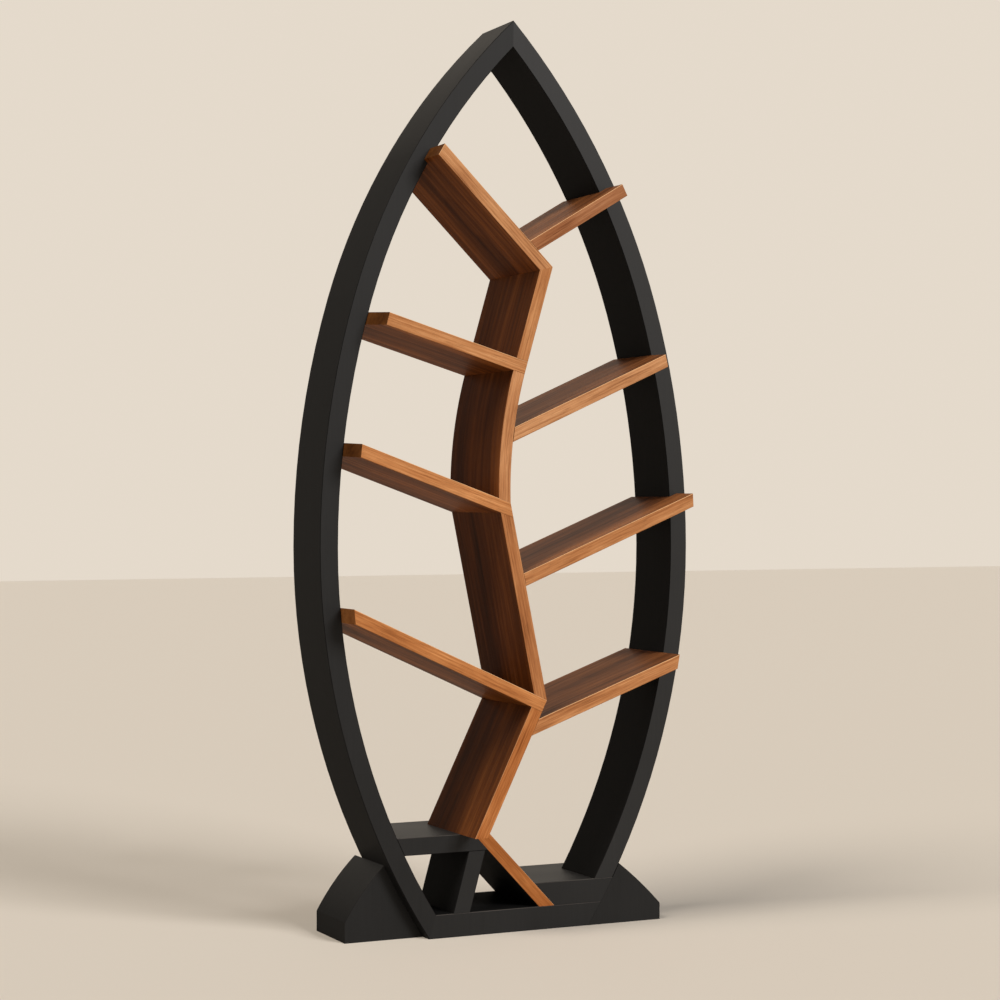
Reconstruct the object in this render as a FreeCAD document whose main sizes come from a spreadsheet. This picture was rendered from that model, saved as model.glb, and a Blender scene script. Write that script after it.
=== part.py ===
import FreeCAD, Part
import itertools
import math
import os
import Sketcher

# Arched bookshelf: a black pointed arch frame on a low base, with a bent wooden
# spine and slanting wooden shelves between the two arch members.
# X is the width, Y runs from the front to the back, Z is up.
# The origin is on the floor, on the arch axis, halfway through the whole depth.

lengths = {
    # arch frame
    "overall_height": 1800.0,
    "apex_shift": 8.0,
    "widest_half_width": 401.0,
    "widest_height": 761.0,
    "arch_foot_half_width": 174.0,
    "middle_arc_radius": 1700.0,
    "shoulder_height": 1250.0,
    "frame_thickness": 37.0,
    "frame_depth": 145.0,
    # base
    "base_depth": 205.0,
    "leg_depth": 165.0,
    "rail_height": 46.0,
    "block_height": 47.0,
    "ledge_top": 200.0,
    "ledge_thickness": 35.0,
    "leg_thickness": 35.0,
    "leg_top_x": -53.5,
    "leg_foot_x": -86.6,
    "block_dowel_x": 150.0,
    "foot_reach": 338.5,
    "right_foot_toe_height": 33.7,
    "right_foot_top_height": 120.0,
    "right_foot_curve_radius": 780.0,
    "left_foot_toe_height": 41.0,
    "left_foot_top_height": 145.0,
    "left_foot_curve_radius": 450.0,
    "left_foot_setback": 30.0,
    "left_foot_depth": 150.0,
    # wooden boards
    "wood_thickness": 25.0,
    "wood_depth": 230.0,
    "wood_overhang": 70.0,
    # corners of the spine, on its right-hand face
    "bend_x": 59.4,
    "bend_height": 1309.0,
    "upper_pass_x": -2.0,
    "waist_x": -32.0,
    "knee_x": 46.7,
    "spine_foot_x": -80.6,
    "brace_foot_x": 64.0,
    "bow_radius": 850.0,
    # heights of the shelves' top faces on the arch axis
    "left_upper_height": 1123.2,
    "left_middle_height": 835.7,
    "left_lower_height": 482.9,
    "right_top_height": 1352.0,
    "right_upper_height": 1004.8,
    "right_middle_height": 711.8,
    "right_lower_height": 415.0,
    # outer ends in front of the arch: three lap over it, three are cut at a slant
    "arm_lap": 11.0,
    "right_top_lap": 18.0,
    "right_middle_lap": 17.0,
    "left_upper_slant": 15.0,
    "left_middle_slant": 9.0,
    "right_upper_slant": 6.0,
    # edges, dowels and clearances
    "wood_edge_radius": 1.5,
    "curved_board_bevel": 1.2,
    "frame_edge_bevel": 1.2,
    "curved_seat_gap": 0.3,
    "frame_dowel_diameter": 10.0,
    "frame_dowel_length": 36.0,
    "shelf_dowel_diameter": 8.0,
    "shelf_dowel_length": 36.0,
    "board_dowel_diameter": 8.0,
    "board_dowel_length": 24.0,
    "dowel_clearance": 0.1,
    "bore_end_clearance": 0.5,
    "foot_dowel_height": 60.0,
}

angles = {
    "arm_angle": 44.4,
    "left_upper_angle": 16.6,
    "left_middle_angle": 19.7,
    "left_lower_angle": 24.6,
    "right_top_angle": 30.9,
    "right_upper_angle": 24.1,
    "right_middle_angle": 22.3,
    "right_lower_angle": 20.2,
}

# Places of the dowels, as shares of the depth or height of the piece they are in.
shares = {
    "outer_dowel_share": 0.15,
    "quarter_dowel_share": 0.25,
    "inner_dowel_share": 0.36,
    "apex_dowel_share": 0.4,
}

os.makedirs("parts", exist_ok=True)
doc = FreeCAD.newDocument("ArchedBookshelf")
sheet = doc.addObject("Spreadsheet::Sheet", "Sizes")
rows = []


def cell(name, content):
    """One row of the sheet: the name in column A, the value in column B."""
    rows.append(name)
    row = len(rows)
    sheet.set("A%d" % row, name)
    sheet.set("B%d" % row, content)
    sheet.setAlias("B%d" % row, name)


def rule(name, text):
    """A value worked out from the others."""
    cell(name, "=" + text)


def point(name, x_text, z_text):
    """A point seen from the front."""
    rule(name + "_x", x_text)
    rule(name + "_z", z_text)


def heading(start, end):
    """Direction from one point to another, in degrees from the X axis."""
    return "atan2({1}_z - {0}_z; {1}_x - {0}_x) / 1 deg".format(start, end)


def strip(name, anchor, way, side, thickness):
    """The two faces a and b and the middle line m of a straight board.

    Face a runs through the anchor, face b is on its left when side is 1."""
    rule(name + "_way", way)
    point(name + "_a", anchor + "_x", anchor + "_z")
    for letter, part in (("m", "/ 2"), ("b", "")):
        point(
            name + "_" + letter,
            "{0}_x - {1} * {2} {3} * sin({4}_way)".format(anchor, side, thickness, part, name),
            "{0}_z + {1} * {2} {3} * cos({4}_way)".format(anchor, side, thickness, part, name),
        )


def along(name, start, way):
    """The point reached from a start in a direction, at the run of that name."""
    point(
        name,
        "{0}_x + {1}_run * cos({2})".format(start, name, way),
        "{0}_z + {1}_run * sin({2})".format(start, name, way),
    )


def meet(name, first, first_way, second, second_way):
    """Where two lines cross, each given by a point and a direction."""
    rule(
        name + "_run",
        "(({2}_x - {0}_x) * sin({3}) - ({2}_z - {0}_z) * cos({3})) / sin({3} - {1})".format(
            first, first_way, second, second_way
        ),
    )
    along(name, first, first_way)


def reach(name, start, way, centre, radius, branch):
    """Where the line from a point in a direction crosses a circle."""
    rule(name + "_across", "{0}_x - {1}_x".format(start, centre))
    rule(name + "_rise", "{0}_z - {1}_z".format(start, centre))
    rule(name + "_dot", "{0}_across * cos({1}) + {0}_rise * sin({1})".format(name, way))
    rule(
        name + "_run",
        "{1} * sqrt({0}_dot ^ 2 - {0}_across ^ 2 - {0}_rise ^ 2 + ({2}) ^ 2) - {0}_dot".format(
            name, branch, radius
        ),
    )
    along(name, start, way)


def bulge(name, start, end, radius, side):
    """Centre of an arc through two points; side is 1 when it is on their right."""
    rule(name + "_across", "{1}_x - {0}_x".format(start, end))
    rule(name + "_rise", "{1}_z - {0}_z".format(start, end))
    rule(name + "_span", "sqrt({0}_across ^ 2 + {0}_rise ^ 2)".format(name))
    rule(
        name + "_offset_share",
        "{2} * sqrt({1} ^ 2 - ({0}_span / 2) ^ 2) / {0}_span".format(name, radius, side),
    )
    point(
        name,
        "({1}_x + {2}_x) / 2 + {0}_rise * {0}_offset_share".format(name, start, end),
        "({1}_z + {2}_z) / 2 - {0}_across * {0}_offset_share".format(name, start, end),
    )


def middle(name, first, second):
    point(name, "({0}_x + {1}_x) / 2".format(first, second), "({0}_z + {1}_z) / 2".format(first, second))


def on_arch(name, height, radius, side="1"):
    """The point of a lower arc of the arch at a height; side is -1 on the left."""
    point(
        name,
        "{2} * (lower_centre_x + sqrt(({0}) ^ 2 - ({1} - widest_height) ^ 2))".format(
            radius, height, side
        ),
        height,
    )


def mirrored(name):
    point("left_" + name, "-" + name + "_x", name + "_z")


for table in (lengths, angles, shares):
    for size_name, size in table.items():
        cell(size_name, repr(size))

# The outer line of the arch is three arcs, each tangent to the next: from the
# floor to the widest height, on to the shoulder, and on to the apex.
rule("foot_inset", "widest_half_width - arch_foot_half_width")
rule("lower_arc_radius", "(foot_inset ^ 2 + widest_height ^ 2) / (2 * foot_inset)")
point("lower_centre", "widest_half_width - lower_arc_radius", "widest_height")
point("middle_centre", "widest_half_width - middle_arc_radius", "widest_height")
rule("shoulder_rise_share", "(shoulder_height - widest_height) / middle_arc_radius")
rule("shoulder_run_share", "sqrt(1 - shoulder_rise_share ^ 2)")
point("shoulder", "middle_centre_x + middle_arc_radius * shoulder_run_share", "shoulder_height")
rule("crown_rise", "overall_height - shoulder_height")
for hand, side in (("right", "1"), ("left", "-1")):
    rule(hand + "_crown_run", "shoulder_x - {0} * apex_shift".format(side))
    rule(
        hand + "_upper_radius",
        "({0}_crown_run ^ 2 + crown_rise ^ 2)"
        " / (2 * ({0}_crown_run * shoulder_run_share - crown_rise * shoulder_rise_share))".format(hand),
    )
    rule(hand + "_upper_inner_radius", hand + "_upper_radius - frame_thickness")
    point(
        hand + "_upper_centre",
        "{0} * (shoulder_x - {1}_upper_radius * shoulder_run_share)".format(side, hand),
        "shoulder_height - {0}_upper_radius * shoulder_rise_share".format(hand),
    )
rule("lower_inner_radius", "lower_arc_radius - frame_thickness")
rule("middle_inner_radius", "middle_arc_radius - frame_thickness")
point("widest", "widest_half_width", "widest_height")
point("widest_inner", "widest_half_width - frame_thickness", "widest_height")
point(
    "shoulder_inner",
    "shoulder_x - frame_thickness * shoulder_run_share",
    "shoulder_height - frame_thickness * shoulder_rise_share",
)
point("apex", "apex_shift", "overall_height")

# The inner apex is where the inner arcs cross, on the apex's side of the line
# between their centres.
rule("between_x", "left_upper_centre_x - right_upper_centre_x")
rule("between_z", "left_upper_centre_z - right_upper_centre_z")
rule("between", "sqrt(between_x ^ 2 + between_z ^ 2)")
rule(
    "crossing_run",
    "(right_upper_inner_radius ^ 2 - left_upper_inner_radius ^ 2 + between ^ 2) / (2 * between)",
)
rule(
    "apex_side",
    "between_x * (apex_z - right_upper_centre_z) - between_z * (apex_x - right_upper_centre_x)",
)
rule(
    "crossing_rise",
    "apex_side / abs(apex_side) * sqrt(right_upper_inner_radius ^ 2 - crossing_run ^ 2)",
)
point(
    "apex_inner",
    "right_upper_centre_x + (crossing_run * between_x - crossing_rise * between_z) / between",
    "right_upper_centre_z + (crossing_run * between_z + crossing_rise * between_x) / between",
)

# Levels of the base, and where the lower arcs cross them.
rule("block_top", "rail_height + block_height")
rule("ledge_under", "ledge_top - ledge_thickness")
point("rail_line", "0", "rail_height")
point("block_line", "0", "block_top")
point("under_line", "0", "ledge_under")
point("ledge_line", "0", "ledge_top")
rule("foot_seat_radius", "lower_arc_radius + curved_seat_gap")
rule("ledge_seat_radius", "lower_inner_radius - curved_seat_gap")
on_arch("arch_floor", "0", "lower_arc_radius")
on_arch("arch_rail", "rail_height", "lower_arc_radius")
on_arch("arch_rail_inner", "rail_height", "lower_inner_radius")
on_arch("arch_block", "block_top", "lower_arc_radius")
on_arch("arch_block_inner", "block_top", "lower_inner_radius")
on_arch("ledge_end_top", "ledge_top", "ledge_seat_radius", "-1")
on_arch("ledge_end_under", "ledge_under", "ledge_seat_radius", "-1")
for foot, side in (("right_foot", "1"), ("left_foot", "-1")):
    on_arch(foot + "_heel", "0", "foot_seat_radius", side)
    on_arch(foot + "_peak", foot + "_top_height", "foot_seat_radius", side)
    point(foot + "_tip", side + " * foot_reach", "0")
    point(foot + "_knuckle", side + " * foot_reach", foot + "_toe_height")
    bulge(foot + "_bend", foot + "_peak", foot + "_knuckle", foot + "_curve_radius", side)
for right_name in (
    "lower_centre",
    "middle_centre",
    "arch_floor",
    "arch_rail_inner",
    "widest",
    "widest_inner",
    "shoulder",
    "shoulder_inner",
):
    mirrored(right_name)

# Shelves: the top face of each is a line through the arch axis at its height.
for shelf in ("left_upper", "left_middle", "left_lower"):
    point(shelf + "_axis", "0", shelf + "_height")
    strip(shelf, shelf + "_axis", "180 - %s_angle" % shelf, "1", "wood_thickness")
for shelf in ("right_top", "right_upper", "right_middle", "right_lower"):
    point(shelf + "_axis", "0", shelf + "_height")
    strip(shelf, shelf + "_axis", shelf + "_angle", "-1", "wood_thickness")

# Corners of the spine's right-hand face, from the bend down to its foot. The
# three left shelves run through the spine, and its boards stand between them.
point("bend_corner", "bend_x", "bend_height")
for corner, shelf, face in (
    ("upper_pass", "left_upper", "b"),
    ("waist", "left_middle", "a"),
    ("knee", "left_lower", "a"),
):
    point(
        corner + "_corner",
        corner + "_x",
        "{1}_{2}_z - ({0}_x - {1}_{2}_x) * tan({1}_angle)".format(corner, shelf, face),
    )
point("spine_foot_corner", "spine_foot_x", "ledge_top")
point("brace_foot_corner", "brace_foot_x", "rail_height")
point("leg_foot_corner", "leg_foot_x", "rail_height")
point("leg_top_corner", "leg_top_x", "ledge_under")
upper_way = heading("upper_pass_corner", "bend_corner")
lower_way = heading("knee_corner", "waist_corner")
foot_way = heading("spine_foot_corner", "knee_corner")
brace_way = heading("brace_foot_corner", "spine_foot_corner")
leg_way = heading("leg_foot_corner", "leg_top_corner")
strip("arm", "bend_corner", "180 - arm_angle", "1", "wood_thickness")
strip("upper_spine", "bend_corner", upper_way, "1", "wood_thickness")
strip("lower_spine", "knee_corner", lower_way, "1", "wood_thickness")
strip("foot_spine", "knee_corner", foot_way, "1", "wood_thickness")
strip("brace", "spine_foot_corner", brace_way, "-1", "wood_thickness")
strip("leg", "leg_foot_corner", leg_way, "1", "leg_thickness")

# The curved board of the spine, bowed to the left.
bulge("bow_centre", "waist_corner", "upper_pass_corner", "bow_radius", "1")
rule("bow_back_radius", "bow_radius + wood_thickness")
rule("bow_seat_radius", "bow_radius - curved_seat_gap")
reach("bow_top_back", "upper_pass_corner", "left_upper_way", "bow_centre", "bow_back_radius", "1")
reach("bow_foot_back", "waist_corner", "left_middle_way", "bow_centre", "bow_back_radius", "1")

# Outer ends of the boards, square in depth, against the inside of the arch.
for board, arc, centre in (
    ("arm", "left_upper", "left_upper_centre"),
    ("left_upper", "middle", "left_middle_centre"),
    ("left_middle", "middle", "left_middle_centre"),
    ("left_lower", "lower", "left_lower_centre"),
    ("right_top", "right_upper", "right_upper_centre"),
    ("right_upper", "middle", "middle_centre"),
    ("right_middle", "middle", "middle_centre"),
    ("right_lower", "lower", "lower_centre"),
):
    for face in ("a", "b"):
        seat = arc + "_inner_radius - curved_seat_gap"
        reach(board + "_end_" + face, board + "_" + face, board + "_way", centre, seat, "1")
    seat = arc + "_inner_radius"
    reach(board + "_end_m", board + "_m", board + "_way", centre, seat, "1")

# The arm and two of the right shelves lap over the front of the arch.
for board in ("arm", "right_top", "right_middle"):
    for face in ("a", "b"):
        rule(board + "_lap_" + face + "_run", board + "_lap")
        along(board + "_lap_" + face, board + "_end_" + face, board + "_way")

# Three shelves have the part in front of the arch cut at a slant.
for board, first, second in (
    ("left_upper", "b", "a"),
    ("left_middle", "b", "a"),
    ("right_upper", "a", "b"),
):
    rule(board + "_seat_way", heading(board + "_end_" + first, board + "_end_" + second))

# Inner ends of the boards, on the spine's right-hand face.
for board, spine in (
    ("left_upper", "upper_spine"),
    ("left_middle", "lower_spine"),
    ("left_lower", "foot_spine"),
    ("right_top", "arm"),
    ("right_middle", "lower_spine"),
    ("right_lower", "foot_spine"),
):
    faces = "abm" if board.startswith("right") else "ab"
    for face in faces:
        start = board + "_" + face
        meet(board + "_root_" + face, start, board + "_way", spine + "_a", spine + "_way")
for face in ("a", "b"):
    start = "right_upper_" + face
    reach("right_upper_root_" + face, start, "right_upper_way", "bow_centre", "bow_seat_radius", "-1")
reach("right_upper_root_m", "right_upper_m", "right_upper_way", "bow_centre", "bow_radius", "-1")

# Ends of the spine's boards, the brace, the ledge and the leg.
for name, first, second in (
    ("bend_inner", "arm_b", "upper_spine_b"),
    ("upper_foot_b", "upper_spine_b", "left_upper_a"),
    ("upper_foot_m", "upper_spine_m", "left_upper_a"),
    ("lower_top_b", "lower_spine_b", "left_middle_b"),
    ("lower_top_m", "lower_spine_m", "left_middle_b"),
    ("lower_foot_b", "lower_spine_b", "left_lower_a"),
    ("lower_foot_m", "lower_spine_m", "left_lower_a"),
    ("foot_top_b", "foot_spine_b", "left_lower_b"),
    ("foot_top_m", "foot_spine_m", "left_lower_b"),
    ("brace_top_b", "brace_b", "foot_spine_a"),
    ("brace_top_m", "brace_m", "foot_spine_a"),
):
    meet(name, first, first[:-2] + "_way", second, second[:-2] + "_way")
for name, first, level in (
    ("foot_foot_b", "foot_spine_b", "ledge_line"),
    ("foot_foot_m", "foot_spine_m", "ledge_line"),
    ("brace_foot_b", "brace_b", "rail_line"),
    ("brace_foot_m", "brace_m", "rail_line"),
    ("brace_block_b", "brace_b", "block_line"),
    ("brace_ledge_a", "brace_a", "under_line"),
    ("leg_top_b", "leg_b", "under_line"),
    ("leg_foot_b", "leg_b", "rail_line"),
    ("leg_top_m", "leg_m", "under_line"),
    ("leg_foot_m", "leg_m", "rail_line"),
):
    meet(name, first, first[:-2] + "_way", level, "0")

# Middles of the joints that are not on a board's middle line.
middle("bend_middle", "bend_corner", "bend_inner")
rule("bend_dowel_way", heading("bend_inner", "bend_corner") + " - 90")
middle("bow_top_middle", "upper_pass_corner", "bow_top_back")
middle("bow_foot_middle", "waist_corner", "bow_foot_back")
rule("bow_top_way", heading("bow_centre", "bow_top_middle") + " - 90")
rule("bow_foot_way", heading("bow_centre", "bow_foot_middle") + " - 90")
middle("mitre_middle", "left_arch_floor", "left_arch_rail_inner")
rule("mitre_dowel_way", heading("left_arch_floor", "left_arch_rail_inner") + " - 90")
point(
    "apex_dowel",
    "apex_inner_x + (apex_x - apex_inner_x) * apex_dowel_share",
    "apex_inner_z + (overall_height - apex_inner_z) * apex_dowel_share",
)
middle("block_top_middle", "arch_block", "arch_block_inner")
point("block_foot_middle", "block_dowel_x", "rail_height")
rule("ledge_middle", "(ledge_top + ledge_under) / 2")
rule("rail_middle", "rail_height / 2")
rule("block_middle", "(rail_height + block_top) / 2")
on_arch("ledge_dowel", "ledge_middle", "lower_inner_radius", "-1")
on_arch("left_foot_dowel", "foot_dowel_height", "lower_arc_radius", "-1")
on_arch("foot_rail_dowel", "rail_middle", "lower_arc_radius")
on_arch("foot_block_dowel", "block_middle", "lower_arc_radius")
rule("left_foot_way", heading("left_lower_centre", "left_foot_dowel"))
rule("foot_rail_way", heading("lower_centre", "foot_rail_dowel"))
rule("foot_block_way", heading("lower_centre", "foot_block_dowel"))

# Depths of the pieces: where the front face is, and how deep the piece is.
rule("overall_depth", "max(wood_depth; wood_overhang + base_depth)")
rule("wood_start", "-overall_depth / 2")
rule("frame_start", "wood_start + wood_overhang")
rule("lap_depth", "wood_overhang - curved_seat_gap")
rule("left_foot_start", "frame_start + left_foot_setback")
frame_reach = ("frame_start", "frame_depth")
base_reach = ("frame_start", "base_depth")
wood_reach = ("wood_start", "wood_depth")
lap_reach = ("wood_start", "lap_depth")
leg_reach = ("frame_start", "leg_depth")
left_foot_reach = ("left_foot_start", "left_foot_depth")


def pair(name, start, depth, share):
    """Two places in depth, the same share in from the front and from the back."""
    rule(name + "_front", "{0} + {1} * {2}".format(start, depth, share))
    rule(name + "_back", "{0} + {1} - {1} * {2}".format(start, depth, share))


# Places of the dowels in depth.
rule("foot_overlap", "frame_depth - left_foot_setback")
pair("frame_dowel", "frame_start", "frame_depth", "quarter_dowel_share")
pair("member_dowel", "frame_start", "frame_depth", "inner_dowel_share")
pair("base_dowel", "frame_start", "base_depth", "quarter_dowel_share")
pair("leg_dowel", "frame_start", "leg_depth", "quarter_dowel_share")
pair("inner_dowel", "frame_start", "base_depth", "inner_dowel_share")
pair("outer_dowel", "frame_start", "base_depth", "outer_dowel_share")
pair("side_dowel", "left_foot_start", "foot_overlap", "quarter_dowel_share")
pair("wood_dowel", "wood_start", "wood_depth", "outer_dowel_share")
pair("wood_between", "wood_start", "wood_depth", "inner_dowel_share")
rule("wood_dowel_centre", "wood_start + wood_depth / 2")
frame_places = ("frame_dowel_front", "frame_dowel_back")
member_places = ("member_dowel_front", "member_dowel_back")
base_places = ("base_dowel_front", "base_dowel_back")
leg_places = ("leg_dowel_front", "leg_dowel_back")
inner_places = ("inner_dowel_front", "inner_dowel_back")
outer_places = ("outer_dowel_front", "outer_dowel_back")
side_places = ("side_dowel_front", "side_dowel_back")
wood_places = ("wood_dowel_front", "wood_dowel_centre", "wood_dowel_back")
between_places = ("wood_between_front", "wood_between_back")

doc.recompute()

# Every dowelled joint, by the node of its dowels: middle, direction, kind, places
# in depth, and the two pieces that it joins.
joints = {
    "apex_dowels": [
        ("apex_dowel", "0", "frame", frame_places, "frame_left_member", "frame_right_member"),
    ],
    "base_dowels": [
        ("mitre_middle", "mitre_dowel_way", "frame", frame_places, "frame_left_member", "base_rail"),
        ("left_foot_dowel", "left_foot_way", "frame", side_places, "frame_left_member", "left_foot"),
        ("ledge_dowel", "0", "frame", frame_places, "frame_left_member", "left_ledge"),
        ("block_top_middle", "90", "frame", member_places, "frame_right_member", "right_block"),
        ("block_foot_middle", "90", "frame", base_places, "base_rail", "right_block"),
        ("foot_rail_dowel", "foot_rail_way", "frame", outer_places, "base_rail", "right_foot"),
        ("foot_block_dowel", "foot_block_way", "frame", outer_places, "right_block", "right_foot"),
        ("leg_foot_m", "leg_way", "frame", leg_places, "base_rail", "base_leg"),
        ("leg_top_m", "leg_way", "board", inner_places, "left_ledge", "base_leg"),
        ("brace_foot_m", "brace_way", "shelf", inner_places, "base_rail", "spine_brace"),
        ("foot_foot_m", "foot_spine_way", "board", frame_places, "left_ledge", "spine_foot_board"),
    ],
    "spine_dowels": [
        ("brace_top_m", "brace_way", "board", inner_places, "spine_foot_board", "spine_brace"),
        ("bend_middle", "bend_dowel_way", "board", wood_places, "spine_top_board", "spine_upper_board"),
        ("upper_foot_m", "upper_spine_way", "board", wood_places, "spine_upper_board", "left_upper_shelf"),
        ("bow_top_middle", "bow_top_way", "board", between_places, "left_upper_shelf", "spine_curved_board"),
        ("bow_foot_middle", "bow_foot_way", "board", wood_places, "spine_curved_board", "left_middle_shelf"),
        ("lower_top_m", "lower_spine_way", "board", between_places, "left_middle_shelf", "spine_lower_board"),
        ("lower_foot_m", "lower_spine_way", "board", wood_places, "spine_lower_board", "left_lower_shelf"),
        ("foot_top_m", "foot_spine_way", "board", between_places, "left_lower_shelf", "spine_foot_board"),
    ],
    "right_shelf_dowels": [],
    "left_frame_dowels": [],
    "right_frame_dowels": [],
}
for shelf, spine in (
    ("right_top", "spine_top_board"),
    ("right_upper", "spine_curved_board"),
    ("right_middle", "spine_lower_board"),
    ("right_lower", "spine_foot_board"),
):
    joints["right_shelf_dowels"].append(
        (shelf + "_root_m", shelf + "_way", "board", wood_places, spine, shelf + "_shelf")
    )
for board, node in (
    ("arm", "spine_top_board"),
    ("left_upper", "left_upper_shelf"),
    ("left_middle", "left_middle_shelf"),
    ("left_lower", "left_lower_shelf"),
    ("right_top", "right_top_shelf"),
    ("right_upper", "right_upper_shelf"),
    ("right_middle", "right_middle_shelf"),
    ("right_lower", "right_lower_shelf"),
):
    side = "right" if board.startswith("right") else "left"
    joints[side + "_frame_dowels"].append(
        (board + "_end_m", board + "_way", "shelf", frame_places, "frame_%s_member" % side, node)
    )

finished = []


def number(name):
    return float(sheet.get(name))


def place(name):
    return FreeCAD.Vector(number(name + "_x"), number(name + "_z"), 0)


def aim(thing, centre, way, back, depth_place):
    """Sets a cylinder across a joint: its middle, direction and place in depth."""
    turn = FreeCAD.Rotation(FreeCAD.Vector(0, 1, 0), 90)
    thing.Placement = FreeCAD.Placement(FreeCAD.Vector(), turn)
    way_text = way if way in ("0", "90") else "Sizes." + way
    thing.setExpression("Placement.Rotation.Angle", "90 - " + way_text)
    thing.setExpression("Placement.Base.x", "Sizes.{0}_x - ({1}) * cos({2})".format(centre, back, way_text))
    thing.setExpression("Placement.Base.z", "Sizes.{0}_z - ({1}) * sin({2})".format(centre, back, way_text))
    thing.setExpression("Placement.Base.y", "Sizes." + depth_place)


def bind_point(sketch, edge, end, name):
    """Ties a sketch point to the sheet's X and Z of that name."""
    spot = place(name)
    for kind, value, tail in (("DistanceX", spot.x, "_x"), ("DistanceY", spot.y, "_z")):
        index = sketch.addConstraint(Sketcher.Constraint(kind, -1, 1, edge, end, value))
        sketch.setExpression("Constraints[%d]" % index, "Sizes." + name + tail)


def profile(sketch, corners, arcs):
    """Closed outline through named corners; arcs gives centre and radius by edge."""
    starts = []
    ends = []
    count = len(corners)
    for index in range(count):
        first = place(corners[index])
        last = place(corners[(index + 1) % count])
        if index not in arcs:
            sketch.addGeometry(Part.LineSegment(first, last))
            starts.append((index, 1))
            ends.append((index, 2))
            continue
        centre = place(arcs[index][0])
        radius = first.distanceToPoint(centre)
        turning = (first - centre).cross(last - centre).z
        low, high = (first, last) if turning > 0 else (last, first)
        low_angle = math.atan2(low.y - centre.y, low.x - centre.x)
        high_angle = math.atan2(high.y - centre.y, high.x - centre.x)
        circle = Part.Circle(centre, FreeCAD.Vector(0, 0, 1), radius)
        sketch.addGeometry(Part.ArcOfCircle(circle, low_angle, high_angle))
        starts.append((index, 1 if turning > 0 else 2))
        ends.append((index, 2 if turning > 0 else 1))
    for index in range(count):
        edge, end = starts[index]
        bind_point(sketch, edge, end, corners[index])
        before = ends[index - 1]
        sketch.addConstraint(Sketcher.Constraint("Coincident", before[0], before[1], edge, end))
    for index, (centre_name, radius_name) in arcs.items():
        size_index = sketch.addConstraint(Sketcher.Constraint("Radius", index, number(radius_name)))
        sketch.setExpression("Constraints[%d]" % size_index, "Sizes." + radius_name)


def on_line(vertex, first, last):
    """Whether a vertex, seen from the front, is on the line between two points."""
    spot = FreeCAD.Vector(vertex.X, vertex.Z, 0)
    around = spot.distanceToPoint(first) + spot.distanceToPoint(last)
    return around < first.distanceToPoint(last) + tolerance


def long_edges(shape, corners, reach_names, eased):
    """Names of the front and back edges that follow the eased outline edges."""
    front = number(reach_names[0])
    faces = (front, front + number(reach_names[1]))
    names = []
    count = len(corners)
    for index in eased:
        first = place(corners[index])
        last = place(corners[(index + 1) % count])
        for number_of_edge, edge in enumerate(shape.Edges, 1):
            one, two = edge.Vertexes[0], edge.Vertexes[-1]
            if abs(one.Y - two.Y) > tolerance:
                continue
            if min(abs(one.Y - face) for face in faces) > tolerance:
                continue
            if on_line(one, first, last) and on_line(two, first, last):
                names.append("Edge%d" % number_of_edge)
    return names


def pad_outline(body, name, corners, reach_names, arcs):
    """Pads one outline from its front face, over its depth."""
    plane = [item for item in body.Origin.OriginFeatures if item.Role == "XZ_Plane"][0]
    sketch = body.newObject("Sketcher::SketchObject", name + "_outline")
    sketch.AttachmentSupport = (plane, [""])
    sketch.MapMode = "FlatFace"
    sketch.setExpression("AttachmentOffset.Base.z", "-Sizes." + reach_names[0])
    profile(sketch, corners, arcs)
    pad = body.newObject("PartDesign::Pad", name + "_pad")
    pad.Profile = sketch
    pad.Reversed = True
    pad.Refine = True
    pad.setExpression("Length", "Sizes." + reach_names[1])
    doc.recompute()
    return pad


def cut_slant(body, node, board, corner):
    """Cuts the end of a shelf at a slant, from the arch's front face to its own front."""
    wedge = body.newObject("PartDesign::SubtractiveWedge", node + "_slant")
    for length in ("Xmin", "X2min", "Zmin", "Z2min"):
        wedge.setExpression(length, "-Sizes.wood_thickness")
    for length in ("Zmax", "Z2max"):
        wedge.setExpression(length, "3 * Sizes.wood_thickness")
    wedge.setExpression("Xmax", "Sizes.%s_slant" % board)
    wedge.X2max = 0
    wedge.Ymin = 0
    wedge.setExpression("Ymax", "Sizes.wood_overhang")
    wedge.Placement = FreeCAD.Placement(FreeCAD.Vector(), FreeCAD.Rotation(FreeCAD.Vector(0, 1, 0), 90))
    wedge.setExpression("Placement.Rotation.Angle", "90 - Sizes.%s_seat_way" % board)
    wedge.setExpression("Placement.Base.x", "Sizes.%s_x" % corner)
    wedge.setExpression("Placement.Base.y", "Sizes.wood_start")
    wedge.setExpression("Placement.Base.z", "Sizes.%s_z" % corner)


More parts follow.
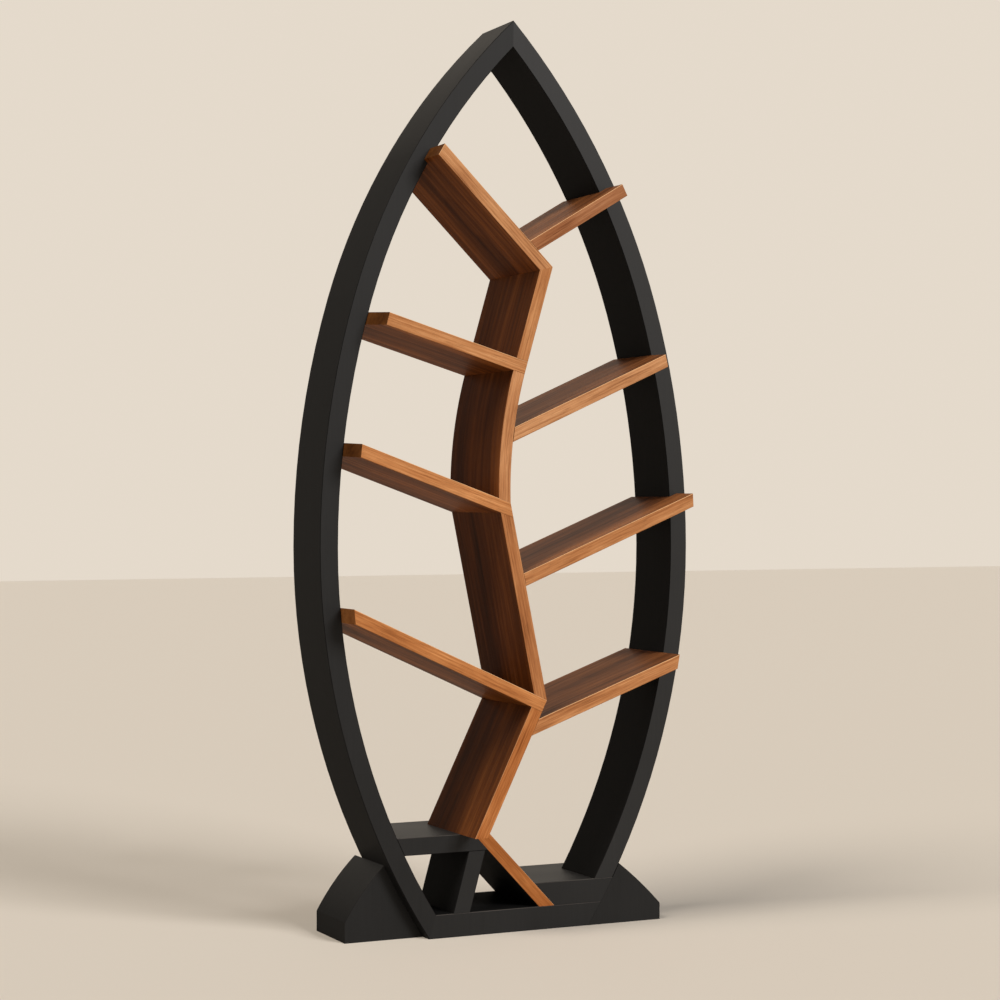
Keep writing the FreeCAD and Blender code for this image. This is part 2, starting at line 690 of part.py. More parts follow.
def piece(node, corners, reach_names, edge_size, eased, arcs=None, lap=None, slant=None):
    """One board: its outline padded in depth, edges eased, bored for dowels.

    Its long edges are bevelled or rounded, as the name of their size says. A lap
    adds its own outline in front of the arch, and a slant cuts the end there."""
    body = doc.addObject("PartDesign::Body", node + "_body")
    body.Label = node
    pad = pad_outline(body, node, corners, reach_names, arcs or {})
    if lap:
        pad = pad_outline(body, node + "_lap", lap, lap_reach, {})
        outer = [lap[3], lap[2], corners[2], corners[3]]
        names = long_edges(pad.Shape, outer, reach_names, eased)
        names += long_edges(pad.Shape, corners, reach_names, (0,))
    else:
        names = long_edges(pad.Shape, corners, reach_names, eased)
    feature, length = ("Fillet", "Radius") if edge_size.endswith("radius") else ("Chamfer", "Size")
    easing = body.newObject("PartDesign::" + feature, node + "_eased")
    easing.Base = (pad, names)
    easing.setExpression(length, "Sizes." + edge_size)
    if slant:
        cut_slant(body, node, *slant)
    bore_number = 0
    for centre, way, kind, places, first, second in itertools.chain(*joints.values()):
        if node not in (first, second):
            continue
        for depth_place in places:
            bore_number += 1
            bore = body.newObject("PartDesign::SubtractiveCylinder", "%s_bore_%d" % (node, bore_number))
            bore.setExpression("Radius", "Sizes.%s_dowel_diameter / 2 + Sizes.dowel_clearance" % kind)
            bore.setExpression("Height", "Sizes.%s_dowel_length + 2 * Sizes.bore_end_clearance" % kind)
            back = "Sizes.%s_dowel_length / 2 + Sizes.bore_end_clearance" % kind
            aim(bore, centre, way, back, depth_place)
    doc.recompute()
    finished.append(body)
    return body


tolerance = lengths["curved_seat_gap"] / 100

# The two arch members meet in a mitre at the apex. The left one runs to the
# floor and is mitred to the rail; the right one stands on the block.
piece(
    "frame_left_member",
    [
        "left_arch_floor",
        "left_widest",
        "left_shoulder",
        "apex",
        "apex_inner",
        "left_shoulder_inner",
        "left_widest_inner",
        "left_arch_rail_inner",
    ],
    frame_reach,
    "frame_edge_bevel",
    (0, 1, 2, 4, 5, 6),
    {
        0: ("left_lower_centre", "lower_arc_radius"),
        1: ("left_middle_centre", "middle_arc_radius"),
        2: ("left_upper_centre", "left_upper_radius"),
        4: ("left_upper_centre", "left_upper_inner_radius"),
        5: ("left_middle_centre", "middle_inner_radius"),
        6: ("left_lower_centre", "lower_inner_radius"),
    },
)
piece(
    "frame_right_member",
    [
        "arch_block",
        "widest",
        "shoulder",
        "apex",
        "apex_inner",
        "shoulder_inner",
        "widest_inner",
        "arch_block_inner",
    ],
    frame_reach,
    "frame_edge_bevel",
    (0, 1, 2, 4, 5, 6),
    {
        0: ("lower_centre", "lower_arc_radius"),
        1: ("middle_centre", "middle_arc_radius"),
        2: ("right_upper_centre", "right_upper_radius"),
        4: ("right_upper_centre", "right_upper_inner_radius"),
        5: ("middle_centre", "middle_inner_radius"),
        6: ("lower_centre", "lower_inner_radius"),
    },
)

# The base: rail on the floor, block on its right end, ledge on a slanting leg.
piece(
    "base_rail",
    ["left_arch_floor", "left_arch_rail_inner", "arch_rail", "arch_floor"],
    base_reach,
    "frame_edge_bevel",
    (1, 3),
    {2: ("lower_centre", "lower_arc_radius")},
)
piece(
    "right_block",
    ["brace_foot_b", "brace_block_b", "arch_block", "arch_rail"],
    base_reach,
    "frame_edge_bevel",
    (1,),
    {2: ("lower_centre", "lower_arc_radius")},
)
piece(
    "left_ledge",
    ["ledge_end_top", "ledge_end_under", "brace_ledge_a", "spine_foot_corner"],
    base_reach,
    "frame_edge_bevel",
    (1, 3),
)
piece(
    "base_leg",
    ["leg_top_corner", "leg_top_b", "leg_foot_b", "leg_foot_corner"],
    leg_reach,
    "frame_edge_bevel",
    (1, 3),
)
piece(
    "left_foot",
    ["left_foot_heel", "left_foot_tip", "left_foot_knuckle", "left_foot_peak"],
    left_foot_reach,
    "frame_edge_bevel",
    (2,),
    {
        2: ("left_foot_bend", "left_foot_curve_radius"),
        3: ("left_lower_centre", "foot_seat_radius"),
    },
)
piece(
    "right_foot",
    ["right_foot_heel", "right_foot_tip", "right_foot_knuckle", "right_foot_peak"],
    base_reach,
    "frame_edge_bevel",
    (2,),
    {
        2: ("right_foot_bend", "right_foot_curve_radius"),
        3: ("lower_centre", "foot_seat_radius"),
    },
)

# The wooden spine, from the top arm down to the ledge, and its brace.
piece(
    "spine_top_board",
    ["arm_end_a", "arm_end_b", "bend_inner", "bend_corner"],
    wood_reach,
    "wood_edge_radius",
    (0, 1, 3),
    lap=["arm_end_a", "arm_end_b", "arm_lap_b", "arm_lap_a"],
)
piece(
    "spine_upper_board",
    ["bend_corner", "bend_inner", "upper_foot_b", "left_upper_root_a"],
    wood_reach,
    "wood_edge_radius",
    (1, 3),
)
piece(
    "spine_curved_board",
    ["upper_pass_corner", "bow_top_back", "bow_foot_back", "waist_corner"],
    wood_reach,
    "curved_board_bevel",
    (1, 3),
    {
        1: ("bow_centre", "bow_back_radius"),
        3: ("bow_centre", "bow_radius"),
    },
)
piece(
    "spine_lower_board",
    ["left_middle_root_b", "lower_top_b", "lower_foot_b", "knee_corner"],
    wood_reach,
    "wood_edge_radius",
    (1, 3),
)
piece(
    "spine_foot_board",
    ["left_lower_root_b", "foot_top_b", "foot_foot_b", "spine_foot_corner"],
    wood_reach,
    "wood_edge_radius",
    (1, 3),
)
piece(
    "spine_brace",
    ["spine_foot_corner", "brace_foot_corner", "brace_foot_b", "brace_top_b"],
    base_reach,
    "wood_edge_radius",
    (0, 2),
)

# Shelves: the left ones end flush with the spine's right-hand face.
for shelf, slant in (
    ("left_upper", ("left_upper", "left_upper_end_b")),
    ("left_middle", ("left_middle", "left_middle_end_b")),
    ("left_lower", None),
):
    piece(
        shelf + "_shelf",
        [shelf + "_end_a", shelf + "_end_b", shelf + "_root_b", shelf + "_root_a"],
        wood_reach,
        "wood_edge_radius",
        (0, 1, 2, 3),
        slant=slant,
    )
for shelf, lapped, slant in (
    ("right_top", True, None),
    ("right_upper", False, ("right_upper", "right_upper_end_a")),
    ("right_middle", True, None),
    ("right_lower", False, None),
):
    piece(
        shelf + "_shelf",
        [shelf + "_end_a", shelf + "_end_b", shelf + "_root_b", shelf + "_root_a"],
        wood_reach,
        "wood_edge_radius",
        (0, 1, 3),
        lap=[shelf + corner for corner in ("_end_a", "_end_b", "_lap_b", "_lap_a")] if lapped else None,
        slant=slant,
    )

# The hidden dowels, in a group for each part of the shelf.
for group, group_joints in joints.items():
    members = []
    for centre, way, kind, places, first, second in group_joints:
        for depth_place in places:
            dowel = doc.addObject("Part::Cylinder", "%s_%d" % (group, len(members) + 1))
            dowel.setExpression("Radius", "Sizes.%s_dowel_diameter / 2" % kind)
            dowel.setExpression("Height", "Sizes.%s_dowel_length" % kind)
            aim(dowel, centre, way, "Sizes.%s_dowel_length / 2" % kind, depth_place)
            members.append(dowel)
    bundle = doc.addObject("Part::Compound", group + "_group")
    bundle.Label = group
    bundle.Links = members
    finished.append(bundle)

doc.recompute()

for thing in doc.Objects:
    if "Invalid" in thing.State or "Error" in thing.State:
        raise RuntimeError("%s did not compute: %s" % (thing.Label, thing.State))
for thing in finished:
    shape = thing.Shape
    if shape.isNull() or not shape.isValid():
        raise RuntimeError("%s has no valid shape" % thing.Label)
for thing in finished:
    thing.Shape.exportStep("parts/%s.step" % thing.Label)
    box = thing.Shape.BoundBox
    print(
        "%-22s solids %2d volume %10.0f  X %7.1f %7.1f  Y %6.1f %6.1f  Z %7.1f %7.1f"
        % (
            thing.Label,
            len(thing.Shape.Solids),
            thing.Shape.Volume,
            box.XMin,
            box.XMax,
            box.YMin,
            box.YMax,
            box.ZMin,
            box.ZMax,
        )
    )
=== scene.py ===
"""Arched bookshelf: the finishes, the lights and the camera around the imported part."""
import math

import bpy
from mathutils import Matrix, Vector

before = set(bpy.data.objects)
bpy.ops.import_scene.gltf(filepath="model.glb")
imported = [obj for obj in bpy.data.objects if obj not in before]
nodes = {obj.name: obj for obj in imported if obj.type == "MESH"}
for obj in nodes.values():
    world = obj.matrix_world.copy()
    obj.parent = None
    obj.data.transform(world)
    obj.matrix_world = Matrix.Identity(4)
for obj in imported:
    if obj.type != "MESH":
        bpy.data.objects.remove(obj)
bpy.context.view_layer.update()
bpy.ops.object.select_all(action="DESELECT")

scene = bpy.context.scene
scene.view_settings.view_transform = "Standard"

# Where the photograph was taken from: a level camera to the left of the front.
CAMERA_PLACE = (-1.9984, -4.1834, 0.8529)
CAMERA_TURN = 25.649
CAMERA_LENS = 83.48
CAMERA_REACH = 100.0
SENSOR_WIDTH = 36.0

FLOOR_SIZE = 40.0
FLOOR_COLOUR = (0.74, 0.67, 0.58, 1.0)
BACKDROP_COLOUR = (0.78, 0.70, 0.60, 1.0)
SKY_COLOUR = (1.0, 0.94, 0.86, 1.0)
SKY_STRENGTH = 0.09
# The lamps: direction from the shelf, strength, spread in degrees and colour.
LAMPS = {
    "key_lamp": ((0.34, -0.80, 0.50), 2.2, 24.0, (1.0, 0.99, 0.99)),
    "side_lamp": ((-0.62, -0.14, 0.77), 1.9, 30.0, (1.0, 0.95, 0.88)),
}
LAMP_DISTANCE = 4.0

# Straight wooden boards: a point on the board in X and Z, and its slope in degrees.
BOARDS = {
    "spine_top_board": (-0.060, 1.417, 135.6),
    "spine_upper_board": (0.015, 1.215, 73.8),
    "spine_lower_board": (-0.010, 0.645, 101.5),
    "spine_foot_board": (-0.035, 0.325, 64.0),
    "spine_brace": (0.002, 0.122, 133.2),
    "left_upper_shelf": (-0.150, 1.155, 163.4),
    "left_middle_shelf": (-0.190, 0.890, 160.3),
    "left_lower_shelf": (-0.160, 0.543, 155.4),
    "right_top_shelf": (0.110, 1.405, 30.9),
    "right_upper_shelf": (0.147, 1.056, 24.1),
    "right_middle_shelf": (0.180, 0.773, 22.3),
    "right_lower_shelf": (0.180, 0.468, 20.2),
}
# The curved board follows an arc: its centre in X and Z, and its middle radius. The
# other boards are numbered from 1, and each number sets where in the wood a board lies.
BOW = (0.8176, 0.8725, 0.8625)
BOW_NUMBER = 14

# Walnut from its dark grain to its light grain, on each kind of face. The tops and the undersides
# are lighter copies of the sides: painted light, on the tops for the light and sheen from above, on
# the undersides for the light thrown up from the floor.
WALNUT_SIDE = [
    (0.0, (0.038, 0.010, 0.002)),
    (0.4, (0.110, 0.031, 0.007)),
    (0.75, (0.215, 0.067, 0.016)),
    (1.0, (0.31, 0.105, 0.029)),
]
WALNUT_TOP_LIT = [
    (0.1, (0.085, 0.028, 0.009)),
    (0.45, (0.24, 0.084, 0.027)),
    (0.9, (0.50, 0.185, 0.058)),
]
WALNUT_UNDERSIDE_LIT = [
    (0.1, (0.075, 0.020, 0.004)),
    (0.45, (0.20, 0.060, 0.013)),
    (0.9, (0.46, 0.150, 0.036)),
]
WALNUT_EDGE = [
    (0.0, (0.20, 0.068, 0.023)),
    (0.4, (0.42, 0.166, 0.060)),
    (0.75, (0.56, 0.25, 0.100)),
    (1.0, (0.68, 0.34, 0.150)),
]
# End grain: darker than the faces, and darker still with painted shade, as where the frame shades
# the shelf ends.
WALNUT_END_GRAIN_AND_SHADE = [(0.1, (0.055, 0.018, 0.005)), (0.9, (0.17, 0.062, 0.016))]
WALNUT_PORE = (0.03, 0.012, 0.006)
# The colour of the painted highlight on the upper arrises.
WALNUT_ARRIS_HIGHLIGHT = (0.82, 0.50, 0.26)
# How the edges of some boards differ in colour from those of the others: partly the boards' own
# tone, partly painted light and shade, with the darkest edges on the lowest boards.
NO_TINT = (1.0, 1.0, 1.0)
EDGE_TINTS_AND_LIGHT = {
    "spine_top_board": (1.15, 1.28, 1.45),
    "spine_curved_board": (1.08, 1.14, 1.25),
    "spine_lower_board": (0.90, 0.86, 0.84),
    "spine_foot_board": (0.84, 0.68, 0.52),
    "spine_brace": (0.80, 0.64, 0.46),
    "left_middle_shelf": (1.12, 1.10, 1.04),
    "left_lower_shelf": (1.06, 0.98, 0.84),
    "right_top_shelf": (0.74, 0.71, 0.80),
    "right_upper_shelf": (1.16, 1.30, 1.50),
}
# The growth rings run round a pith, which lies below the board and slopes either way.
RINGS_PER_METRE = 95.0
RING_TONES = [(0.0, 0.62), (0.45, 0.55), (0.82, 0.3), (0.93, 0.18), (1.0, 0.62)]
PITH_DEPTH = 0.075
PITH_SIDESTEP = 0.02
PITH_SLOPES = (-0.04, 0.05)
RING_SWAY = 0.085
# How far apart in the wood, and in the paint, the pieces of neighbouring numbers lie.
WOOD_STEP = (1.7, 0.61, 0.37)
PAINT_STEP = (1.3, 0.7, 0.9)

# Layers of noise: cells per metre along, in depth and through the board, or along X, Y
# and Z for paint and beech, then detail, roughness and for some distortion.
RING_WANDER = ((1.6, 5.0, 5.0), 2.0, 0.5)
BANDS = ((1.1, 13.0, 13.0), 3.0, 0.5, 0.3)
STREAKS = ((3.2, 75.0, 75.0), 4.0, 0.6, 0.2)
FIBRES = ((14.0, 480.0, 480.0), 3.0, 0.65)
EDGE_LINES = ((8.0, 330.0, 330.0), 4.0, 0.7, 0.2)
EDGE_PATCHES = ((9.0, 30.0, 30.0), 2.0, 0.5)
PORES = ((38.0, 1300.0, 1300.0), 1.0, 0.5)
PAINT_CLOUDS = ((5.0, 5.0, 3.0), 3.0, 0.55)
BRUSH_MARKS = ((210.0, 210.0, 9.0), 3.0, 0.6)
PAINT_SPECKS = ((900.0, 900.0, 900.0), 1.0, 0.5)
BEECH_FLECKS = ((60.0, 400.0, 60.0), 3.0, 0.6)

# Shares that follow from the direction of the surface: (part of the normal, share) stops.
# How far a face turns up or down, for the painted light on tops and undersides.
TURNED_THAT_WAY = [(0.5, 0.0), (0.85, 1.0)]
ON_BOARD_FACE = [(0.80, 0.0), (0.97, 1.0)]
ON_BOARD_END = [(0.75, 0.0), (0.9, 1.0)]
# Where the brace keeps its walnut front, outside the painted shade.
ON_UNSHADED_FRONT = [(0.55, 0.0), (0.65, 1.0)]
# The arrises' bevels, where the painted highlight goes: by how far they face the front or the back,
# and by how far up.
WALNUT_BEVEL = ([(0.25, 0.0), (0.5, 1.0), (0.85, 1.0), (0.96, 0.0)], [(0.2, 0.0), (0.5, 0.9)])
BLACK_BEVEL = ([(0.35, 0.0), (0.6, 1.0), (0.8, 1.0), (0.93, 0.0)], [(0.2, 0.0), (0.5, 1.0)])
# Where the noise of the pores is low, there is a pore.
BETWEEN_PORES = [(0.3, 0.0), (0.42, 1.0)]
PORE_STRENGTH = 0.35
WALNUT_SHEEN = [(0.4, 0.02), (0.8, 0.06)]

# A gain and an offset for each of these.
FACE_CONTRAST = (2.2, -1.02)
EDGE_LINE_CONTRAST = (1.7, -0.55)
FACE_TONE_ON_EDGES = (0.25, -0.32)
SHADED_FACES_SHEEN = (0.7, 0.3)
WALNUT_ROUGHNESS = (0.22, 0.38)
PAINT_ROUGHNESS = (0.14, 0.40)

# The black pieces: how strong the painted highlight on their upper arrises is, and the sheen of
# their fronts, of their sides and of their tops.
BLACK_PIECES = {
    "frame_left_member": (0.15, 0.23, 0.02, 0.15),
    "frame_right_member": (0.15, 0.34, 0.02, 0.15),
    "base_rail": (1.0, 0.25, 0.001, 0.0),
    "right_block": (1.0, 0.27, 0.02, 0.15),
    "left_ledge": (1.0, 0.25, 0.02, 0.15),
    "base_leg": (0.15, 0.28, 0.01, 0.15),
    "left_foot": (0.15, 0.20, 0.02, 0.13),
    "right_foot": (0.15, 0.23, 0.02, 0.15),
}
BLACK_PAINT = [(0.3, (0.0070, 0.0068, 0.0067)), (0.7, (0.0120, 0.0117, 0.0116))]
# The lighter grey of the painted highlight on the black pieces' upper arrises.
ARRIS_HIGHLIGHT_BLACK = (0.090, 0.080, 0.072)
# The black of the painted shade on the brace's faces other than its front.
BRACE_SHADE_BLACK = (0.008, 0.0078, 0.0078)

BEECH = [(0.3, (0.42, 0.27, 0.13)), (0.7, (0.62, 0.44, 0.25))]
FINISH_IOR = 1.45
# The height of the relief in the finishes, in metres.
RELIEF_DEPTH = 0.0004


def new_tree(name):
    """An empty material of that name, and its node tree."""
    material = bpy.data.materials.new(name)
    material.use_nodes = True
    tree = material.node_tree
    tree.nodes.clear()
    return material, tree


def fill(tree, socket, value):
    """Links a socket to another node's output, or sets its constant."""
    if isinstance(value, bpy.types.NodeSocket):
        tree.links.new(value, socket)
    else:
        socket.default_value = value


def add(tree, kind, inputs=None, **settings):
    """A node of that kind, with its settings and input values or links."""
    node = tree.nodes.new("ShaderNode" + kind)
    for name, value in settings.items():
        setattr(node, name, value)
    for name, value in (inputs or {}).items():
        fill(tree, node.inputs[name], value)
    return node


def maths(tree, operation, *values):
    """The result of a sum on numbers."""
    node = add(tree, "Math", operation=operation)
    for index, value in enumerate(values):
        fill(tree, node.inputs[index], value)
    return node.outputs[0]


def vectors(tree, operation, *values):
    """The result of a sum on vectors: a number for a dot product or a length."""
    node = add(tree, "VectorMath", operation=operation)
    for index, value in enumerate(values):
        fill(tree, node.inputs[index], value)
    return node.outputs["Value"] if operation in ("DOT_PRODUCT", "LENGTH") else node.outputs[0]


def weighed(tree, *layers):
    """The sum of (number, share) layers."""
    parts = [maths(tree, "MULTIPLY", layer, share) for layer, share in layers]
    total = parts[0]
    for part in parts[1:]:
        total = maths(tree, "ADD", total, part)
    return total


def noise(tree, place, stretch, detail, roughness, distortion=0.0):
    """Noise from about 0 to 1, with that many cells per metre along each axis."""
    inputs = {
        "Vector": vectors(tree, "MULTIPLY", place, stretch),
        "Scale": 1.0,
        "Detail": detail,
        "Roughness": roughness,
        "Distortion": distortion,
    }
    return add(tree, "TexNoise", inputs).outputs["Fac"]


def ramp(tree, factor, stops):
    """A colour ramp through (position, colour) stops."""
    node = add(tree, "ValToRGB", {"Fac": factor})
    elements = node.color_ramp.elements
    while len(elements) < len(stops):
        elements.new(0.5)
    for element, (position, colour) in zip(elements, stops):
        element.position = position
        element.color = (*colour, 1.0)
    return node.outputs["Color"]


def grey_ramp(tree, factor, stops):
    """A ramp through (position, number) stops."""
    return ramp(tree, factor, [(position, (value,) * 3) for position, value in stops])


def blend(tree, factor, first, second, mode="MIX"):
    """The first colour, mixed with the second one by the factor or multiplied by it."""
    node = add(tree, "Mix", data_type="RGBA", blend_type=mode)
    fill(tree, node.inputs[0], factor)
    # The node has sockets for numbers and vectors too: 6, 7 and output 2 hold colours.
    for index, colour in ((6, first), (7, second)):
        linked = isinstance(colour, bpy.types.NodeSocket)
        fill(tree, node.inputs[index], colour if linked else (*colour, 1.0))
    return node.outputs[2]


def shift(tree, place, number, step):
    """The place for the noise, moved on by the piece's number so that no two look alike."""
    return vectors(tree, "ADD", place, tuple(number * length for length in step))


def upper_arris_highlight(tree, facing, upward, bevel):
    """The share of the bevel along an upper edge, from how far the surface faces each way, for the
    painted highlight there.
    """
    facing_stops, upward_stops = bevel
    slanting = grey_ramp(tree, facing, facing_stops)
    return maths(tree, "MULTIPLY", slanting, grey_ramp(tree, upward, upward_stops))


def relief(tree, strength, height):
    """The normal of a surface with that fine relief."""
    inputs = {"Strength": strength, "Distance": RELIEF_DEPTH, "Height": height}
    return add(tree, "Bump", inputs).outputs["Normal"]


def finish(tree, inputs):
    """Covers the material's surface with one shader."""
    shader = add(tree, "BsdfPrincipled", inputs)
    output = add(tree, "OutputMaterial")
    tree.links.new(shader.outputs[0], output.inputs["Surface"])


def straight_board(tree, place, normal, board):
    """Place along, in depth and through a straight board, and the normal across and along it."""
    x, z, slope = board
    turn = math.radians(slope)
    mapping = add(
        tree,
        "Mapping",
        {"Vector": place, "Location": (x, 0.0, z), "Rotation": (0.0, -turn, 0.0)},
        vector_type="TEXTURE",
    )
    across = vectors(tree, "DOT_PRODUCT", normal, (-math.sin(turn), 0.0, math.cos(turn)))
    lengthwise = vectors(tree, "DOT_PRODUCT", normal, (math.cos(turn), 0.0, math.sin(turn)))
    return mapping.outputs[0], maths(tree, "ABSOLUTE", across), maths(tree, "ABSOLUTE", lengthwise)


def curved_board(tree, place, normal):
    """The same along the arc of the curved board, whose ends don't show."""
    x, z, radius = BOW
    spot = vectors(tree, "SUBTRACT", place, (x, 0.0, z))
    parts = add(tree, "SeparateXYZ", {"Vector": spot})
    level = vectors(tree, "MULTIPLY", spot, (1.0, 0.0, 1.0))
    distance = vectors(tree, "LENGTH", level)
    leftward = maths(tree, "MULTIPLY", parts.outputs[0], -1.0)
    angle = maths(tree, "ARCTAN2", parts.outputs[2], leftward)
    along = maths(tree, "MULTIPLY", angle, radius)
    through = maths(tree, "SUBTRACT", distance, radius)
    bent = add(tree, "CombineXYZ", {"X": along, "Y": parts.outputs[1], "Z": through})
    across = vectors(tree, "DOT_PRODUCT", normal, vectors(tree, "NORMALIZE", level))
    return bent.outputs[0], maths(tree, "ABSOLUTE", across), 0.0


def growth_rings(tree, local, shifted, number):
    """The tone of the growth rings, which wander slowly along the board."""
    wander = noise(tree, shifted, *RING_WANDER)
    sway = maths(tree, "MULTIPLY", maths(tree, "SUBTRACT", wander, 0.5), RING_SWAY)
    parts = add(tree, "SeparateXYZ", {"Vector": local})
    slope = PITH_SLOPES[number % 2]
    below = maths(tree, "ADD", maths(tree, "MULTIPLY", parts.outputs[0], slope), PITH_DEPTH)
    deep = maths(tree, "ADD", parts.outputs[2], below)
    side = maths(tree, "ADD", parts.outputs[1], PITH_SIDESTEP * (number % 3 - 1))
    ring_place = add(tree, "CombineXYZ", {"X": 0.0, "Y": side, "Z": deep})
    distance = maths(tree, "ADD", vectors(tree, "LENGTH", ring_place.outputs[0]), sway)
    ring = maths(tree, "FRACT", maths(tree, "MULTIPLY", distance, RINGS_PER_METRE))
    return grey_ramp(tree, ring, RING_TONES)


def walnut(name, board, number, painted=False):
    """Oiled walnut with its grain along one board, lighter on the board's edges.

    A board with painted=True keeps walnut on its front only, and its other faces get painted shade:
    black, as if deep in shadow."""
    material, tree = new_tree(name + "_walnut")
    place = add(tree, "TexCoord").outputs["Object"]
    normal = add(tree, "NewGeometry").outputs["Normal"]
    if board:
        local, flatness, endwise = straight_board(tree, place, normal, board)
    else:
        local, flatness, endwise = curved_board(tree, place, normal)
    shifted = shift(tree, local, number, WOOD_STEP)

    # Broad bands, streaks, rings and fine fibres, all along the board.
    bands = noise(tree, shifted, *BANDS)
    streaks = noise(tree, shifted, *STREAKS)
    rings = growth_rings(tree, local, shifted, number)
    fibres = noise(tree, shifted, *FIBRES)
    tone = weighed(tree, (bands, 0.55), (streaks, 0.45), (rings, 0.10), (fibres, 0.22))
    tone = maths(tree, "MULTIPLY_ADD", tone, *FACE_CONTRAST)

    # The edges show the same wood as fine lines in soft patches.
    lines = noise(tree, shifted, *EDGE_LINES)
    patches = noise(tree, shifted, *EDGE_PATCHES)
    edge_tone = maths(tree, "MULTIPLY_ADD", lines, *EDGE_LINE_CONTRAST)
    edge_tone = maths(tree, "ADD", edge_tone, maths(tree, "MULTIPLY", patches, 0.9))
    shared_tone = maths(tree, "MULTIPLY_ADD", tone, *FACE_TONE_ON_EDGES)
    edge_tone = maths(tree, "ADD", edge_tone, shared_tone)

    normal_parts = add(tree, "SeparateXYZ", {"Vector": normal})
    upward = normal_parts.outputs[2]
    downward = maths(tree, "MULTIPLY", upward, -1.0)
    # Tops and undersides take the lighter copies of the walnut: painted light from above and painted
    # light thrown up from the floor.
    face = ramp(tree, tone, WALNUT_SIDE)
    for direction, stops in ((upward, WALNUT_TOP_LIT), (downward, WALNUT_UNDERSIDE_LIT)):
        share = grey_ramp(tree, direction, TURNED_THAT_WAY)
        face = blend(tree, share, face, ramp(tree, tone, stops))
    # Each board's edge tint also carries painted light and shade.
    edge = blend(tree, 1.0, ramp(tree, edge_tone, WALNUT_EDGE), EDGE_TINTS_AND_LIGHT.get(name, NO_TINT), "MULTIPLY")
    colour = blend(tree, grey_ramp(tree, flatness, ON_BOARD_FACE), edge, face)
    # End grain, darkened further with painted shade.
    end = ramp(tree, tone, WALNUT_END_GRAIN_AND_SHADE)
    colour = blend(tree, grey_ramp(tree, endwise, ON_BOARD_END), colour, end)

    # Dark pores, and a painted highlight on the upper arrises along the front and the back.
    unbroken = grey_ramp(tree, noise(tree, shifted, *PORES), BETWEEN_PORES)
    pore_share = maths(tree, "MULTIPLY", maths(tree, "SUBTRACT", 1.0, unbroken), PORE_STRENGTH)
    colour = blend(tree, pore_share, colour, WALNUT_PORE)
    facing = maths(tree, "ABSOLUTE", normal_parts.outputs[1])
    arris = upper_arris_highlight(tree, facing, upward, WALNUT_BEVEL)
    colour = blend(tree, arris, colour, WALNUT_ARRIS_HIGHLIGHT)

    shine = grey_ramp(tree, upward, WALNUT_SHEEN)
    # The brace's faces other than its front get painted shade: black, as under deep shadow, with
    # their sheen dulled.
    if painted:
        forward = maths(tree, "MULTIPLY", normal_parts.outputs[1], -1.0)
        unshaded = grey_ramp(tree, forward, ON_UNSHADED_FRONT)
        colour = blend(tree, unshaded, BRACE_SHADE_BLACK, colour)
        dulling = maths(tree, "MULTIPLY_ADD", unshaded, *SHADED_FACES_SHEEN)
        shine = maths(tree, "MULTIPLY", shine, dulling)
    height = weighed(tree, (fibres, 0.6), (unbroken, 0.5))
    finish(
        tree,
        {
            "Base Color": colour,
            "Roughness": maths(tree, "MULTIPLY_ADD", fibres, *WALNUT_ROUGHNESS),
            "Normal": relief(tree, 0.18, height),
            "IOR": FINISH_IOR,
            "Specular IOR Level": shine,
        },
    )
    return material


def black_lacquer(name, number, highlight_level, front_sheen, side_sheen, top_sheen):
    """Satin black paint on wood: faint brush marks, and a painted highlight that makes the upper
    arrises a little lighter.
    """
    material, tree = new_tree(name + "_black")
    place = add(tree, "TexCoord").outputs["Object"]
    normal = add(tree, "NewGeometry").outputs["Normal"]
    shifted = shift(tree, place, number, PAINT_STEP)
    clouds = noise(tree, shifted, *PAINT_CLOUDS)
    brush = noise(tree, shifted, *BRUSH_MARKS)
    specks = noise(tree, shifted, *PAINT_SPECKS)
    paint = ramp(tree, weighed(tree, (clouds, 0.6), (brush, 0.4)), BLACK_PAINT)

    normal_parts = add(tree, "SeparateXYZ", {"Vector": normal})
    facing = maths(tree, "ABSOLUTE", normal_parts.outputs[1])
    upward = normal_parts.outputs[2]
    arris = upper_arris_highlight(tree, facing, upward, BLACK_BEVEL)
    # The painted highlight comes and goes with the clouds of the paint.
    highlight_strength = maths(tree, "MULTIPLY_ADD", clouds, 1.2 * highlight_level, 0.1 * highlight_level)
    colour = blend(tree, maths(tree, "MULTIPLY", arris, highlight_strength), paint, ARRIS_HIGHLIGHT_BLACK)

    front_shine = grey_ramp(tree, facing, [(0.80, side_sheen), (0.95, front_sheen)])
    top_shine = grey_ramp(tree, upward, [(0.5, 0.0), (0.95, top_sheen)])
    cloudy_roughness = maths(tree, "MULTIPLY_ADD", clouds, *PAINT_ROUGHNESS)
    roughness = maths(tree, "ADD", cloudy_roughness, maths(tree, "MULTIPLY", specks, 0.06))
    height = weighed(tree, (brush, 0.7), (specks, 0.3))
    finish(
        tree,
        {
            "Base Color": colour,
            "Roughness": roughness,
            "Normal": relief(tree, 0.12, height),
            "IOR": FINISH_IOR,
            "Specular IOR Level": maths(tree, "ADD", front_shine, top_shine),
        },
    )
    return material


def beech(name):
    """Plain pale dowel wood, finely flecked."""
    material, tree = new_tree(name)
    place = add(tree, "TexCoord").outputs["Object"]
    flecks = noise(tree, place, *BEECH_FLECKS)
    finish(tree, {"Base Color": ramp(tree, flecks, BEECH), "Roughness": 0.6})
    return material


def give(node, material):
    """Puts one material on a CAD node."""
    mesh = nodes[node].data
    mesh.materials.clear()
    mesh.materials.append(material)


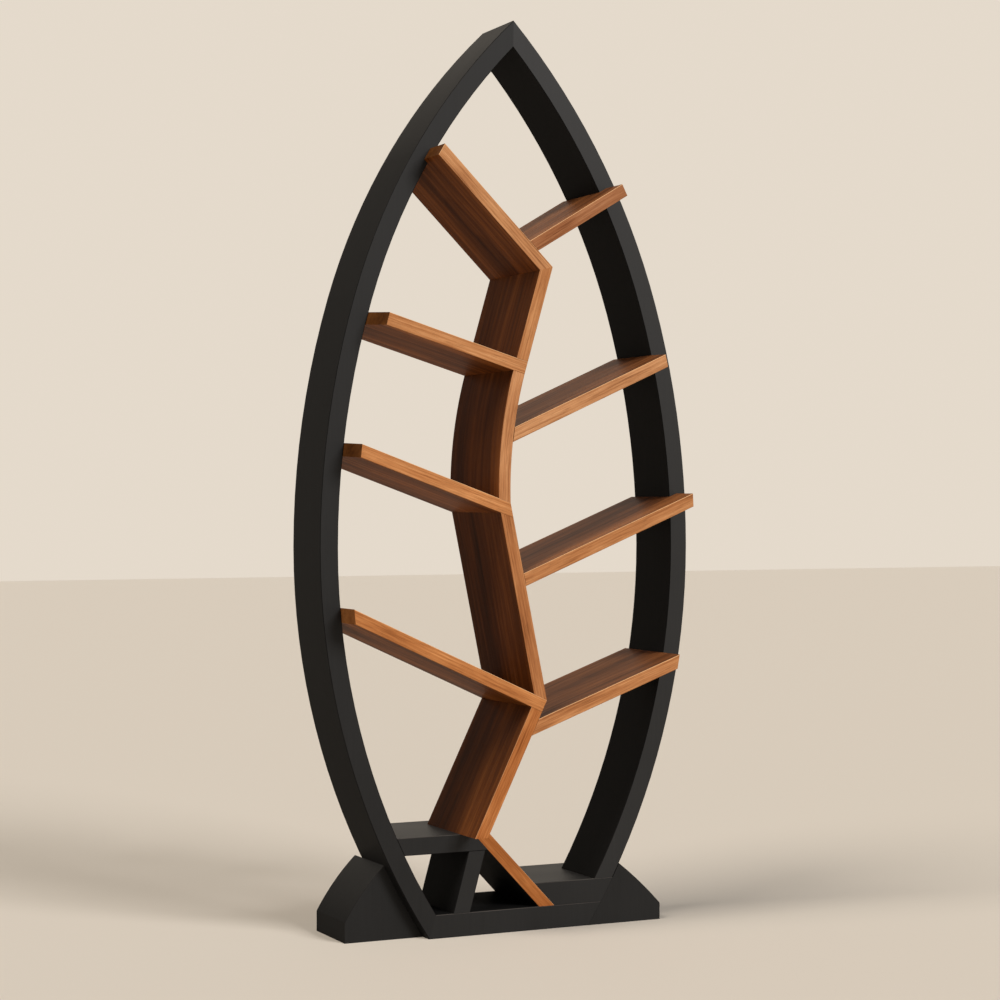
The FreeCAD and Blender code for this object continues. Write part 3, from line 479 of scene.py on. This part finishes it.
def shine_from(name, towards, strength, spread, colour):
    """A soft distant lamp, given the direction from the shelf to it."""
    data = bpy.data.lights.new(name, "SUN")
    data.energy = strength
    data.angle = math.radians(spread)
    data.color = colour
    lamp = bpy.data.objects.new(name, data)
    scene.collection.objects.link(lamp)
    lamp.location = Vector(towards) * LAMP_DISTANCE
    lamp.rotation_euler = Vector(towards).to_track_quat("Z", "Y").to_euler()


# The brace gets painted shade on all its faces but the front.
for number, (board_name, board) in enumerate(sorted(BOARDS.items()), 1):
    give(board_name, walnut(board_name, board, number, painted=board_name == "spine_brace"))
give("spine_curved_board", walnut("spine_curved_board", None, BOW_NUMBER))
for number, (piece_name, looks) in enumerate(BLACK_PIECES.items(), 1):
    give(piece_name, black_lacquer(piece_name, number, *looks))
dowel_wood = beech("dowel_beech")
for node_name in nodes:
    if node_name.endswith("_dowels"):
        give(node_name, dowel_wood)

# Stage: a plain pale floor.
bpy.ops.mesh.primitive_plane_add(size=FLOOR_SIZE, location=(0.0, 0.0, 0.0))
floor = bpy.context.active_object
floor.name = "stage_floor"
floor_paint, floor_tree = new_tree("stage_floor_paint")
finish(floor_tree, {"Base Color": FLOOR_COLOUR, "Roughness": 0.85, "Specular IOR Level": 0.2})
floor.data.materials.append(floor_paint)

# A dim even sky, which looks like a pale backdrop to the camera and in reflections.
world = bpy.data.worlds.new("studio")
scene.world = world
world.use_nodes = True
sky = world.node_tree
sky.nodes.clear()
rays = add(sky, "LightPath")
backdrop_seen = maths(sky, "MAXIMUM", rays.outputs["Is Camera Ray"], rays.outputs["Is Glossy Ray"])
plain = add(sky, "Background", {"Color": SKY_COLOUR, "Strength": SKY_STRENGTH})
backdrop = add(sky, "Background", {"Color": BACKDROP_COLOUR, "Strength": 1.0})
mixed = add(sky, "MixShader")
for index, socket in enumerate((backdrop_seen, plain.outputs[0], backdrop.outputs[0])):
    sky.links.new(socket, mixed.inputs[index])
sky_output = add(sky, "OutputWorld")
sky.links.new(mixed.outputs[0], sky_output.inputs["Surface"])

for lamp_name, lamp_values in LAMPS.items():
    shine_from(lamp_name, *lamp_values)

eye = bpy.data.cameras.new("photo_camera")
eye.lens = CAMERA_LENS
eye.sensor_width = SENSOR_WIDTH
eye.clip_end = CAMERA_REACH
camera = bpy.data.objects.new("photo_camera", eye)
scene.collection.objects.link(camera)
camera.location = CAMERA_PLACE
camera.rotation_euler = (math.radians(90.0), 0.0, math.radians(-CAMERA_TURN))
scene.camera = camera
